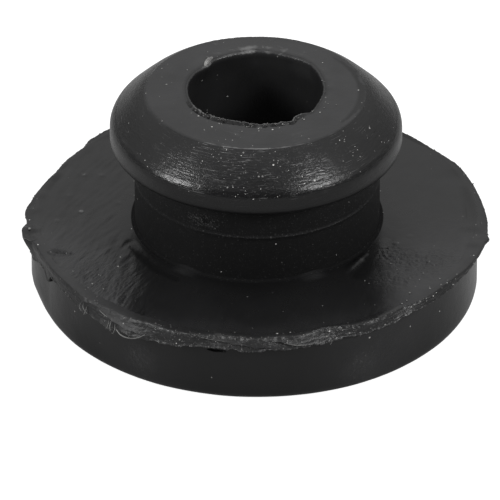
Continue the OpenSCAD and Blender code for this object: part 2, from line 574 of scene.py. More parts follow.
def dust_group():
    """Specks of pale dust: scattered dots, each of its own size."""
    inputs = {"Place": "Vector", "Spacing": "Float", "Size": "Float", "Amount": "Float"}
    tree, given, made = node_group("Shader", "dust_specks", inputs, {"Specks": "Float"})
    scale = reckon(tree, "DIVIDE", 1.0, given["Spacing"])
    cells = put(tree, "ShaderNodeTexVoronoi", {"Vector": given["Place"], "Scale": scale})
    chance = put(tree, "ShaderNodeSeparateColor", {0: cells.outputs["Color"]}).outputs
    away = times(tree, cells.outputs["Distance"], given["Spacing"])
    reach = times(tree, given["Size"], reckon(tree, "ADD", chance[1], 0.3))
    dot = reckon(tree, "LESS_THAN", away, reach)
    kept = reckon(tree, "LESS_THAN", chance[0], given["Amount"])
    pale = layered(tree, 0.1, (times(tree, chance[2], chance[2]), 0.9))
    tree.links.new(times(tree, times(tree, dot, pale), kept), made["Specks"])
    return tree


rubber_grain = rubber_grain_group()
dust_specks = dust_group()


def blend(tree, share, low, high):
    """A value that goes from low to high with a share."""
    inputs = {"Value": share, "To Min": low, "To Max": high}
    return put(tree, "ShaderNodeMapRange", inputs).outputs[0]


def tinted(tree, share, under, over):
    """A colour laid over another by a share."""
    node = put(tree, "ShaderNodeMix", {0: share}, data_type="RGBA")
    for socket, colour in ((node.inputs[6], under), (node.inputs[7], over)):
        if isinstance(colour, bpy.types.NodeSocket):
            tree.links.new(colour, socket)
        else:
            socket.default_value = (*colour, 1)
    return node.outputs[2]


def beyond(tree, value, low, high):
    """0 up to low, and 1 from high on."""
    return put(tree, "ShaderNodeMapRange", {"Value": value, "From Min": low, "From Max": high}).outputs[0]


BLACK_RUBBER = (0.0058, 0.0058, 0.006)
DUSTY_RUBBER = (0.03, 0.03, 0.031)
TORN_RUBBER = (0.045, 0.045, 0.046)
BURR_PALE = (0.15, 0.15, 0.15)
SCRATCH_PALE = (0.085, 0.085, 0.085)
DASH_PALE = (0.28, 0.28, 0.28)
PALE_DUST = (0.75, 0.74, 0.72)


def painted(tree, *coats):
    """Black rubber under coats, each with its share and its colour."""
    colour = BLACK_RUBBER
    for share, coat in coats:
        colour = tinted(tree, share, colour, coat)
    return colour


def opened(material):
    """A material's tree, its surface, and the piece's own place in millimetres."""
    material.use_nodes = True
    tree = material.node_tree
    object_place = put(tree, "ShaderNodeTexCoord").outputs["Object"]
    place = put(tree, "ShaderNodeMapping", {0: object_place, 3: (1 / MM,) * 3}).outputs[0]
    return tree, tree.nodes["Principled BSDF"], place


def carried(tree, *labels):
    """The shares that a piece's points carry."""
    return [put(tree, "ShaderNodeAttribute", attribute_name=label).outputs["Fac"] for label in labels]


def grained(tree, place, grain_size, mottle_size):
    """The grain, mottles and blotches of the rubber's skin."""
    inputs = {"Place": place, "Grain size": grain_size, "Mottle size": mottle_size}
    return put(tree, "ShaderNodeGroup", inputs, node_tree=rubber_grain).outputs


def dusted(tree, place, spacing, size, amount):
    """Specks of dust."""
    inputs = {"Place": place, "Spacing": spacing, "Size": size, "Amount": amount}
    return put(tree, "ShaderNodeGroup", inputs, node_tree=dust_specks).outputs[0]


def drawn_round(tree, x, y, out, length, third):
    """A place drawn out round the axis, with its third value as given."""
    sides = [times(tree, reckon(tree, "DIVIDE", side, out), length) for side in (x, y)]
    return combined(tree, *sides, third)


def dressed(tree, surface, colour, rough, height):
    """Gives a surface its colour, its roughness and its relief."""
    bump = put(tree, "ShaderNodeBump", {"Height": height, "Distance": MM, "Strength": 1.0})
    for made, label in ((colour, "Base Color"), (rough, "Roughness"), (bump.outputs[0], "Normal")):
        tree.links.new(made, surface.inputs[label])


def finish_moulded_rubber(material):
    """Satin black rubber: ground in rings and scratched on the shoulder, dusty
    on the land, with drag marks, scuffs and pebbles across the flange."""
    tree, surface, place = opened(material)
    torn, ground, matte, dusty = carried(tree, *SHARES[:4])
    scraped, scuffed, pebbled, dragged = carried(tree, "scraped", "scuffed", "pebbled", "dragged")
    grain, mottle, blotch = grained(tree, place, 0.075, 0.7)
    strewn = reckon(tree, "MAXIMUM", scraped, times(tree, dusty, 0.3))
    dust = dusted(tree, place, 0.25, 0.036, blend(tree, strewn, 0.01, 0.6))
    powder = dusted(tree, place, 0.12, 0.022, times(tree, scraped, 0.45))
    x, y, z, out = split(tree, place)
    slant = reckon(tree, "SUBTRACT", out, z)

    def rings(length, width, detail):
        """Noise drawn out round the axis, over the slope of the shoulder."""
        drawn = drawn_round(tree, x, y, out, length, reckon(tree, "DIVIDE", slant, width))
        return noise(tree, drawn, 1.0, detail, 0.6)

    def streaks(heading, length, width, detail, rough):
        """Noise drawn out along a heading, in plan."""
        turned = {0: place, 2: (0, 0, math.radians(heading)), 3: (length, width, 1)}
        laid = put(tree, "ShaderNodeMapping", turned, vector_type="TEXTURE")
        return noise(tree, laid.outputs[0], 1.0, detail, rough)

    tool_rings = rings(3.0, 0.16, 3.0)
    scratches = rings(5.0, 0.04, 2.0)
    pits = rings(26.0, 0.13, 1.0)
    dashes = beyond(tree, layered(tree, scratches, (mottle, 0.5)), 0.33, 0.45)
    grit = beyond(tree, layered(tree, grain, (pits, 0.7)), 0.2, 0.6)
    grit = times(tree, grit, scraped)
    drags = times(tree, streaks(74, 2.6, 0.45, 3.0, 0.6), dragged)
    scuffs = times(tree, streaks(58, 0.9, 0.2, 4.0, 0.65), scuffed)
    pebbles = times(tree, noise(tree, place, 4.5, 3.0, 0.65), pebbled)
    roughened = reckon(tree, "ADD", scuffs, pebbles)
    flecks = beyond(tree, layered(tree, roughened, (grain, 0.5)), 0.22, 0.5)

    lying = layered(tree, dusty, (scuffed, 0.35), (pebbled, 0.3))
    lying = times(tree, lying, blend(tree, blotch, 0.6, 1.3))
    colour = painted(
        tree,
        (times(tree, lying, layered(tree, 1.0, (drags, 1.4))), DUSTY_RUBBER),
        (times(tree, torn, 0.8), TORN_RUBBER),
        (beyond(tree, layered(tree, torn, (mottle, 0.9)), 0.6, 1.0), BURR_PALE),
        (layered(tree, times(tree, grit, 0.5), (flecks, 0.5)), SCRATCH_PALE),
        (times(tree, dashes, scraped), DASH_PALE),
        (reckon(tree, "MAXIMUM", dust, powder), PALE_DUST),
    )
    rough = layered(tree, blend(tree, matte, 0.15, 0.62), (mottle, 0.05))
    height = layered(
        tree,
        times(tree, grain, blend(tree, ground, 0.0018, 0.004)),
        (times(tree, pits, ground), 0.008),
        (mottle, 0.008),
        (times(tree, tool_rings, ground), 0.007),
        (times(tree, scratches, ground), 0.0022),
        (drags, 0.018),
        (roughened, 0.035),
        (dust, 0.01),
    )
    dressed(tree, surface, colour, rough, height)


def finish_neck_rubber(material, sheen):
    """The neck as it left the mould, dull and black, never handled."""
    tree, surface, place = opened(material)
    surface.inputs["Specular IOR Level"].default_value = sheen
    torn, matte, dusty = carried(tree, "torn", "matte", "dusty")
    grain, mottle = grained(tree, place, 0.08, 0.5)[:2]
    parted = times(tree, torn, 3.0)
    dust = dusted(tree, place, 0.3, 0.034, blend(tree, parted, 0.06, 0.7))
    scuffed = beyond(tree, layered(tree, torn, (grain, 0.8)), 0.2, 0.7)
    colour = painted(tree, (dusty, DUSTY_RUBBER), (scuffed, BURR_PALE), (dust, PALE_DUST))
    rough = layered(tree, blend(tree, matte, 0.1, 0.75), (mottle, 0.06))
    height = times(tree, grain, blend(tree, parted, 0.002, 0.02))
    dressed(tree, surface, colour, rough, layered(tree, height, (mottle, 0.008)))


def middles_of(mesh):
    """The middles of a mesh's faces, in millimetres."""
    flat = np.empty(len(mesh.polygons) * 3)
    mesh.polygons.foreach_get("center", flat)
    return flat.reshape(-1, 3) / MM


def surfaced(mesh, materials, numbers):
    """Gives a mesh its materials, and each face the number of its own."""
    mesh.materials.clear()
    for material in materials:
        mesh.materials.append(material)
    mesh.polygons.foreach_set("material_index", numbers.astype(np.int32))


NECK_SHEEN = 0.25
ROOT_SHEEN = 0.1
finish_moulded_rubber(moulded_rubber)
neck_rubber = bpy.data.materials.new("neck_rubber")
finish_neck_rubber(neck_rubber, NECK_SHEEN)
root_rubber = bpy.data.materials.new("root_rubber")
finish_neck_rubber(root_rubber, ROOT_SHEEN)
middle_x, middle_y, middle_z = middles_of(head.data).T
middle_out = np.hypot(middle_x, middle_y)
on_neck = (middle_out > BORE_R + 1) * (middle_out < HEAD_R - RIM_LOW_ROUND) * (middle_z < HEAD_Z + 0.02)
surfaced(head.data, [moulded_rubber, neck_rubber], on_neck)
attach(head, "root")
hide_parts("grommet")


# ---------------------------------------------------------------------------
# The flange: the lower part of the same moulding, a thick disc that has been
# dragged, scuffed and cut, cracked under its torn edge and creased at the neck.
# ---------------------------------------------------------------------------

FLANGE_R = 11.0
FLANGE_TOP = 3.8
FLANGE_IN = 4.4
ROOT_ROUND = 0.2
# The root's rounding starts a hair inside the neck, so that no edge shows.
ROOT_INTO_NECK = 0.006
ROOT_OUT = 7.4
FLANGE_EDGE = 0.12
FOOT_ROUND = 0.4
MID_R = 8.6
CRACK_Z = 2.8
# How far round the crack the wall has points to spare.
CRACK_ABOVE = 0.1
CRACK_BELOW = 0.14
FLANGE_COLUMNS = 900
# Cracks in the wall under the torn lip: their half width, then the angle, half
# angle and depth of each.
CRACK_HALF = 0.055
CRACKS = [(259.6, 3.1, 0.3), (224.0, 1.6, 0.15), (40, 3, 0.2), (140, 4, 0.2)]
# Scuffed patches of the top: centre, reach and depth.
SCUFFS = [
    ((-7.4, -6.2), 2.6, 1.0), ((-9.6, -3.4), 1.6, 0.6), ((-8.3, -4.4), 2.2, 0.6), ((-8.9, -5.8), 1.6, 0.6),
]
# Pebbled patches of the top, the same way.
PEBBLES = [
    ((6.9, -3.7), 1.3, 0.9), ((8.2, -4.6), 2.2, 0.8), ((9.3, -4.0), 1.7, 0.6), ((6.6, -5.9), 1.6, 0.4),
]
# Furrows of the drag marks and of the scuffs: heading, widths, length, depth.
DRAG_FURROWS = [(70, (0.5, 0.83, 1.3), 4.0, 0.013)]
SCUFF_FURROWS = [(60, (0.17, 0.29, 0.41, 0.23), 1.1, 0.012), (32, (0.19, 0.27, 0.35), 0.8, 0.008)]
# How tall the coarse and the fine pebbles stand.
PEBBLE_TALL = (0.018, 0.014)
# Where the flange's own top edge is torn or worn back, and by how much.
EDGE_GONE = [
    (24, 0), (33, 0.04), (36, 0.08), (40, 0.3), (45, 0.35), (55, 0.15), (65, 0), (141, 0), (146, 0.06),
    (152, 0), (158, 0.1), (163, 0.0), (282, 0), (287, 0.1), (292, 0),
]
# Small pimples on the top: their reach, then where each is, and how tall.
PIMPLE_REACH = 0.24
PIMPLES = [
    (-8.68, 3.85, 0.035), (-7.83, 3.85, 0.035), (-8.78, 0.38, 0.04), (-9.98, -0.46, 0.035),
    (-6.9, 1.2, 0.02), (-9.4, 1.9, 0.02), (6.9, -2.6, 0.03), (7.6, -1.9, 0.02), (5.6, 7.2, 0.03),
    (-3.2, 9.1, 0.03), (1.5, 8.4, 0.02),
]
# Cuts in the top: two ends, half width and depth.
CUTS = [
    ((-7.03, -7.9), (-6.78, -6.1), 0.05, 0.04), ((-6.98, -7.7), (-6.2, -6.2), 0.045, 0.035),
    ((-6.75, -8.4), (-6.3, -7.2), 0.045, 0.035), ((-10.15, -3.4), (-9.5, -3.5), 0.11, 0.3),
    ((-7.3, -8.0), (-6.6, -8.3), 0.045, 0.03), ((-8.1, -7.2), (-7.3, -6.6), 0.04, 0.03),
    ((-7.9, -7.7), (-7.2, -7.3), 0.04, 0.03), ((-8.6, -6.6), (-7.7, -6.5), 0.04, 0.025),
]
# Creases beside the neck's root, each through three points, half widths and
# depths.  Dust is cleared from each, which paints shade into it; those of
# depth 0 are painted shade only.
CREASES = [
    ([(-6.3, -2.5), (-5.65, -3.83), (-4.83, -5.15)], 0.42, 0.028),
    ([(-4.83, -5.15), (-4.4, -5.6), (-4.0, -5.95)], 0.3, 0.02),
    ([(6.35, -2.5), (6.0, -3.7), (5.6, -4.6)], 0.55, 0), ([(5.6, -4.6), (5.3, -5.1), (5.0, -5.6)], 0.5, 0),
]
# Swellings of the root: how tall, then the angle and half angle of each.
# Each is also dusted pale, which is a painted highlight of a softbox.
LUMP_TALL = 0.12
ROOT_LUMPS = [(236.0, 8.5), (296.0, 8.5)]
# Folds beside the creases: two ends, half width and how tall.
ROOT_FOLDS = [((4.35, -5.3), (5.35, -3.6), 0.2, 0.03), ((4.6, -4.9), (5.0, -4.2), 0.34, 0.045)]
# Where the wall swells out: angle, half angle and how far.
WALL_BULGE = (184, 17, 0.29)
# Mottled patches of the wall: angle, height, half angle, half height, strength.
WALL_PATCHES = [
    (238.5, 1.4, 7, 1.3, 1.3), (297.5, 1.2, 8, 1.3, 1.3), (215, 1.8, 4, 0.8, 0.4), (304, 1.9, 14, 1.9, 0.3),
]
# Where more dust clings to the wall: angle, half angle, how much.
WALL_DUST = [(303.0, 26.0, 0.5), (238.0, 20.0, 0.25)]
# How much dust lies on the front half of the top, from left to right across
# it, and on the back half.  Across the front the values also hold a painted
# reflection of the dark neck: low in a strip as wide as the neck, higher
# either side of it.
DUST_AND_NECK_REFLECTION_ACROSS = [
    (-11.0, 1.0), (-9.0, 1.25), (-7.4, 1.15), (-6.7, 0.8), (-5.9, 0.3), (-3, 0.45), (3, 0.45), (5.6, 0.3),
    (6.2, 0.6), (6.8, 1.2), (8.5, 1.4), (11.0, 1.1),
]
DUST_BACK = 0.3
# Bands along the edge with more or less of it: angle, half angle, radius, half width.
EDGE_DUST = [
    (3.0, 17.0, 10.5, 0.4, -0.45), (3.0, 17.0, 11.15, 0.4, 0.7), (-22.0, 14.0, 10.4, 0.4, -0.2),
    (166.0, 16.0, 11.2, 0.5, 0.6),
]
# Lumps and dents near the flange's edge: where, how far they reach, how tall.
EDGE_LUMPS = [
    ((-11.4, -1.25), 0.5, 0.15), ((-10.95, -1.6), 0.4, -0.05), ((-11.15, -2.1), 0.35, -0.08),
    ((-11.2, 0.7), 0.6, 0.06), ((-10.9, 2.1), 0.6, 0.05), ((-10.2, 3.9), 0.7, 0.05),
    ((10.0, 3.6), 1.0, -0.04), ((10.6, -1.6), 0.7, -0.06), ((10.8, -2.6), 0.5, 0.04),
]
# Hollows and rolls along the edge: angle, half angle, radius, half width, how tall.
EDGE_ROLLS = [
    (3.0, 17.0, 10.6, 0.45, -0.09), (3.0, 15.0, 11.15, 0.3, 0.05), (166.0, 16.0, 10.65, 0.5, -0.07),
    (166.0, 16.0, 11.2, 0.3, 0.05),
]


def flange_runs():
    """The half section: up inside the neck, out over the top, down the wall,
    round the foot and home across the underside."""
    edge = (FLANGE_R - FLANGE_EDGE, FLANGE_TOP - FLANGE_EDGE)
    foot = (FLANGE_R - FOOT_ROUND, FOOT_ROUND)
    root = (NECK_R + ROOT_ROUND - ROOT_INTO_NECK, FLANGE_TOP + ROOT_ROUND)
    in_neck, on_wall, under = (0, 0, 0.75, 0, 0), (0, 0, 0.05, 0.06, 0), (0, 0, 0.5, 0.2, 0)
    return [
        *legs(
            (FLANGE_IN, 0.2),
            ((FLANGE_IN, root[1]), 1, (0, 0, 0.5, 0, 0)),
            ((NECK_R - 0.1, root[1] + 0.05), 1, in_neck),
            ((root[0] - ROOT_ROUND, root[1]), 1, in_neck),
        ),
        (bend(root, ROOT_ROUND, 180, 270, 6), (0, 0, 1, 0, 0)),
        *legs(
            (root[0], FLANGE_TOP),
            ((ROOT_OUT, FLANGE_TOP), 22, (0, 0, (0.5, 0.38), (0.1, 0.4), 0)),
            ((MID_R, FLANGE_TOP), 14, (0, 0, (0.38, 0.35), (0.4, 0.6), 0)),
            ((edge[0], FLANGE_TOP), 36, (0, 0, (0.35, 0.3), (0.6, 0.8), 0)),
        ),
        (bend(edge, FLANGE_EDGE, 90, 0, 4), (0, 0, 0.3, 0.5, 0)),
        *legs(
            (FLANGE_R, edge[1]),
            ((FLANGE_R, CRACK_Z + CRACK_ABOVE), 3, on_wall),
            ((FLANGE_R, CRACK_Z - CRACK_BELOW), 6, on_wall),
            ((FLANGE_R, FOOT_ROUND), 8, on_wall),
        ),
        (bend(foot, FOOT_ROUND, 0, -90, 5), (0, 0, 0.1, 0.1, 0)),
        *legs(
            (foot[0], 0),
            ((foot[0] - EDGE_KEEP, 0), 1, under),
            ((FLANGE_IN + 2 * EDGE_KEEP, 0), 1, under),
            ((FLANGE_IN + EDGE_KEEP, 0), 1, under),
            ((FLANGE_IN, EDGE_KEEP), 1, under),
        ),
    ]


def furrows(x, y, heading, widths, length):
    """Furrows along a heading in plan, from about -1 to 1, that waver and fade."""
    way = math.radians(heading)
    along = x * math.cos(way) + y * math.sin(way)
    across = y * math.cos(way) - x * math.sin(way)
    waves = []
    for number, width in enumerate(widths):
        waver = 0.45 * width * np.sin(along / length * 6.3 + 2.3 * number + 1.7 * across)
        fade = 0.5 + 0.5 * np.sin(along / length * math.tau + 3.1 * number + across * 2.7)
        waves.append(fade * np.sin(math.tau * (across + waver) / width))
    return sum(waves) / math.sqrt(len(widths))


def creased(x, y):
    """1 in the middle of a crease beside the root, easing to 0, and its depth."""
    share, depth = 0, 0
    for (start, middle, end), half, deep in CREASES:
        within = swell(np.minimum(beside(x, y, start, middle), beside(x, y, middle, end)), 0, half)
        share, depth = np.maximum(share, within), np.maximum(depth, deep * within)
    return share, depth


def dust_and_painted_reflection_on_top(x, y):
    """How much dust lies at a point of the top, with the neck's reflection painted in front."""
    turn, out = np.degrees(np.arctan2(y, x)), np.hypot(x, y)
    across = np.interp(x, *zip(*DUST_AND_NECK_REFLECTION_ACROSS)) + 0.25 * rise(out, 9.3, 10.8) * (np.abs(x) < 5.5)
    dust = across + (DUST_BACK - across) * rise(y, -2.5, 1.0)
    for centre, half, middle, wide, rubbed in EDGE_DUST:
        dust = dust + rubbed * bump_round(turn, centre, half) * swell(out, middle, wide)
    return np.maximum(dust, 0)


def patched(x, y, patches):
    """How strongly round patches of the top, with their reach, cover a point."""
    return sum(share * swell(np.hypot(x - px, y - py), 0, reach) for (px, py), reach, share in patches)


def lumped(x, y):
    """How far the lumps, hollows and rolls near the edge lift a point."""
    lift = patched(x, y, EDGE_LUMPS)
    turn, out = np.degrees(np.arctan2(y, x)), np.hypot(x, y)
    for centre, half, middle, wide, tall in EDGE_ROLLS:
        lift = lift + tall * bump_round(turn, centre, half) * swell(out, middle, wide)
    return lift


def mark_flange(mesh):
    """Its marks: drags and scuffs on the left, pebbled rubber on the right,
    pimples, cuts, a creased and swollen root, a swollen wall and cracks.  Its
    dust share also holds painted light: the neck's dark reflection in front,
    painted shade in the creases and painted highlights on the root's swellings."""
    x, y, z, turn, out = points_of(mesh)
    on_top = (z > FLANGE_TOP - 0.3) * (out > 6.3)

    scuffed = on_top * patched(x, y, SCUFFS)
    pebbled = np.clip(on_top * patched(x, y, PEBBLES), 0, 1)
    dragged = on_top * (0.2 + 0.8 * rise(-x, 4.5, 7)) * rise(out, 6.6, 7.4)
    for heading, widths, length, deep in DRAG_FURROWS:
        z += deep * dragged * furrows(x, y, heading, widths, length)
    for heading, widths, length, deep in SCUFF_FURROWS:
        z += deep * scuffed * furrows(x, y, heading, widths, length)
    coarse, fine = PEBBLE_TALL
    z += coarse * pebbled * np.sin(14 * x + 3 * np.sin(3 * y)) * np.sin(7 * y + 3 * np.sin(5 * x))
    z += fine * pebbled * np.sin(29 * x + 3 * np.sin(5 * y)) * np.sin(17 * y + 4 * np.sin(9 * x))
    pale = 0
    for px, py, tall in PIMPLES:
        pimple = swell(np.hypot(x - px, y - py), 0, PIMPLE_REACH) * on_top
        z += 0.8 * tall * pimple
        pale = pale + 22 * tall * pimple
    for start, end, half, deep in CUTS:
        away = beside(x, y, start, end)
        uneven = 0.6 + 0.4 * np.sin(7 * x + 13 * y)
        z += on_top * uneven * (0.3 * deep * swell(away, 1.9 * half, half) - deep * swell(away, 0, half))
    z += on_top * lumped(x, y)
    crease, crease_deep = creased(x, y)
    z -= crease_deep * (z > FLANGE_TOP - 0.3)
    root_swell_and_highlight = sum(swell(turn, centre, half) for centre, half in ROOT_LUMPS) * swell(out, NECK_R + 0.2, 0.4)
    root_swell_and_highlight = root_swell_and_highlight * (z > FLANGE_TOP - 0.3)
    z += LUMP_TALL * root_swell_and_highlight
    for start, end, half, tall in ROOT_FOLDS:
        z += tall * swell(beside(x, y, start, end), 0, half) * (z > FLANGE_TOP - 0.3)

    gone = follow(turn, EDGE_GONE) * rise(z, 3.2, 3.8) * rise(out, 10.3, 10.9)
    centre, half, proud = WALL_BULGE
    bulge = proud * bump_round(turn, centre, half) * rise(z, 0, 0.9) * (z < 3.1)
    turned_out(x, y, turn, bulge * (out > 10.5) - gone)
    for centre, half, deep in CRACKS:
        wandering = CRACK_Z + 0.02 * ripple(turn, (29, 67, 131), 0.6)
        gap = bump_round(turn, centre, half) * swell(z, wandering, CRACK_HALF)
        turned_out(x, y, turn, -deep * gap * (out > FLANGE_R - 0.2))
    moved_to(mesh, x, y, z)

    # Across the front of the top the dust share is also a painted reflection of the dark neck.
    # Clearing the dust from the creases paints shade into them.
    share = np.where(on_top, dust_and_painted_reflection_on_top(x, y), 1) * (1 - np.clip(1.5 * crease, 0, 1))
    on_wall = (z < 3) * (out > 10.8)
    wall_dust = on_wall * sum(dust * swell(turn, centre, half) for centre, half, dust in WALL_DUST)
    # The root's swellings get pale dust here: a painted highlight.
    give_share(mesh, "dusty", share_of(mesh, "dusty") * share + 0.45 * root_swell_and_highlight + wall_dust)
    at_neck = out < NECK_R + ROOT_ROUND
    give_share(mesh, "matte", share_of(mesh, "matte") * np.where(at_neck, 1, 0.4 + 0.6 * share))
    for centre, height, half, tall, strength in WALL_PATCHES:
        pebbled = pebbled + strength * on_wall * swell(turn, centre, half) * swell(z, height, tall)
    give_share(mesh, "torn", pale)
    for label, values in (("scuffed", scuffed), ("pebbled", pebbled), ("dragged", dragged)):
        give_share(mesh, label, values)


flange = swept("flange", flange_runs(), FLANGE_COLUMNS, moulded_rubber)
mark_flange(flange.data)
middle_x, middle_y, middle_z = middles_of(flange.data).T
at_root = (np.hypot(middle_x, middle_y) < NECK_R + ROOT_ROUND) * (middle_z > FLANGE_TOP - 0.5)
surfaced(flange.data, [moulded_rubber, root_rubber], at_root)
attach(flange, "root")


# ---------------------------------------------------------------------------
# The flash: the rubber that squeezed out where the mould parts round the
# flange, torn off by hand, so that a ragged lip of it is left.
# ---------------------------------------------------------------------------

FLASH_COLUMNS = 1440
FLASH_IN = 10.45
FLASH_TOP_R = 11.0
FLASH_LOW_R = 11.4
FLASH_LOW_Z = 2.98
FLASH_TIP = 0.05
# Round the flange, how far the lip's top edge stands out past the flange.
LIP_TOP_EDGE = [
    (0, 0.46), (8, 0.34), (20, 0.28), (28, 0.28), (33, 0.05), (38, -0.1), (60, -0.1), (75, 0.2), (90, 0.05),
    (110, 0.15), (125, 0.1), (131, 0.28), (139, 0.28), (143, 0.0), (150, 0.05), (158, -0.05), (163, 0.16),
    (168, 0.34), (171, 0.44), (174, 0.58), (177, 0.62), (180, 0.5), (182.3, 0.48), (183.8, 0.66),
    (185.5, 0.78), (188, 0.8), (190, 0.74), (192, 0.42), (195, 0.32), (200, 0.28), (214, 0.3), (222, 0.38),
    (228, 0.3), (236, 0.38), (242, 0.3), (249, 0.52), (255, 0.38), (260, 0.12), (265, 0.24), (270, 0.5),
    (275, 0.2), (281, 0.3), (287, -0.1), (292, 0.04), (297, 0.28), (303, 0.18), (310, 0.04), (316, 0.2),
    (328, 0.32), (338, 0.5), (348, 0.58), (350, 0.72), (352, 0.56),
]
# The same for its lower edge, past the lip's own mean.
LIP_LOW_EDGE = [
    (0, 0.0), (60, -0.1), (120, -0.1), (165, 0.0), (182, 0.0), (188, -0.05), (193, -0.2), (208, -0.2),
    (215, -0.05), (230, 0.25), (238, 0.32), (246, 0.12), (262, 0.15), (275, 0.1), (284, -0.12),
    (292, -0.15), (302, -0.08), (310, -0.1), (320, 0.0), (345, -0.06),
]
# How far its lower edge is lifted, where the lip thins out.
LIP_LIFT = [
    (0, 0.1), (30, 0), (178, -0.1), (184, -0.6), (190, -0.55), (196, -0.2), (204, 0), (215, 0), (250, 0.05),
    (257, 0.2), (266, 0.22), (276, 0.12), (286, 0.2), (296, 0.22), (305, 0.25), (315, 0.36), (326, 0.45),
    (342, 0.3), (352, 0.15),
]
# How pale and crumbly the tear is round the lip.
LIP_TEAR = [
    (0, 0.1), (20, 0.2), (50, 0.5), (90, 0.6), (140, 0.4), (165, 0.1), (205, 0.0), (215, 0.05), (222, 0.25),
    (229, 0.35), (239, 0.4), (248, 0.75), (256, 0.95), (264, 0.9), (276, 0.8), (286, 0.95), (294, 0.8),
    (300, 0.5), (306, 0.32), (312, 0.18), (320, 0.05), (345, 0.0), (353, 0.2),
]
# Where the lip is dullest: angle and half angle.
DULL_LIP = (229.0, 26.0)
# How far its top and low edges fray outwards, and wave and nick up and down.
BROW_FRAY = 0.022
HEM_FRAY = 0.035
BROW_WAVE = 0.025
BROW_NICKS = 0.013
HEM_WAVE = 0.05
# Where the lip's outer edge is rolled over and rounded, and how far it drops.
ROLL_DROP = 0.25
LIP_ROLLED = [
    (0, 0.5), (30, 0.7), (60, 0.2), (120, 0.3), (150, 0.9), (175, 1.0), (184, 0.4), (189, 0.3), (195, 0),
    (330, 0), (350, 0.2),
]
# How thickly crumbs cling round the lip.
LIP_CRUMBS = [
    (0, 0.3), (165, 0.3), (178, 0.15), (205, 0.1), (214, 0.2), (222, 0.4), (240, 0.45), (250, 0.9),
    (280, 0.95), (294, 1.1), (303, 0.5), (335, 0.4),
]
# Where a flap of the lip hangs down: centre, half width, drop.
FLAPS = [
    (201.5, 2.6, 0.42), (232.0, 3.0, 0.16), (222.0, 1.6, 0.12), (268, 5.0, 0.08), (284, 3, 0.06),
    (120, 4, 0.2),
]
# Strips folded over the lip's face: from (degrees, height) to (degrees, height).
FOLDS = [
    ((254, 3.72), (274, 3.3), 0.12), ((273, 3.66), (286, 3.15), 0.18), ((277, 3.5), (284, 3.42), 0.07),
    ((226, 3.5), (243, 3.15), 0.1), ((243, 3.45), (256, 3.3), 0.05), ((292, 3.3), (305, 3.62), 0.06),
    ((205, 3.3), (224, 3.6), 0.05), ((318, 3.5), (336, 3.25), 0.05), ((30, 3.4), (55, 3.2), 0.06),
    ((80, 3.3), (110, 3.5), 0.06), ((130, 3.5), (150, 3.3), 0.05),
]


def flash_runs():
    """The lip's half section, closed inside the moulding's flange."""
    low = (FLASH_LOW_R - FLASH_TIP, FLASH_LOW_Z + FLASH_TIP)
    top = (FLASH_TOP_R - FLASH_TIP, FLANGE_TOP - FLASH_TIP + 0.02)
    brow = top[1] + FLASH_TIP
    inside = (0, 0, 0.5, 0, 0)
    return [
        *legs(
            (FLASH_IN, FLANGE_TOP - 0.06),
            ((FLASH_IN + 0.28, FLANGE_TOP + 0.002), 4, (0, 0, 0.3, 0.7, 0)),
            ((top[0] - 0.1, brow), 5, (0.05, 0, 0.3, 0.7, 0)),
            ((top[0], brow), 3, ((0.05, 0.3), 0, 0.4, 0.7, 0)),
        ),
        (bend(top, FLASH_TIP, 90, 20, 3), (0.5, 0, 0.5, 0.6, 0)),
        *legs(
            (top[0] + 0.047, top[1] + 0.017),
            ((FLASH_LOW_R, low[1]), 32, ((0.75, 1), 0, 0.5, 0.15, 0)),
        ),
        (bend(low, FLASH_TIP, 0, -90, 4), (0.9, 0, 0.5, 0.6, 0)),
        *legs(
            (low[0], FLASH_LOW_Z),
            ((FLANGE_R - 0.1, FLASH_LOW_Z - 0.04), 6, (0.5, 0, 0.8, 0, 0)),
            ((FLASH_IN, FLANGE_TOP - 0.3), 2, inside),
            ((FLASH_IN, FLANGE_TOP - 0.05), 1, inside),
        ),
    ]


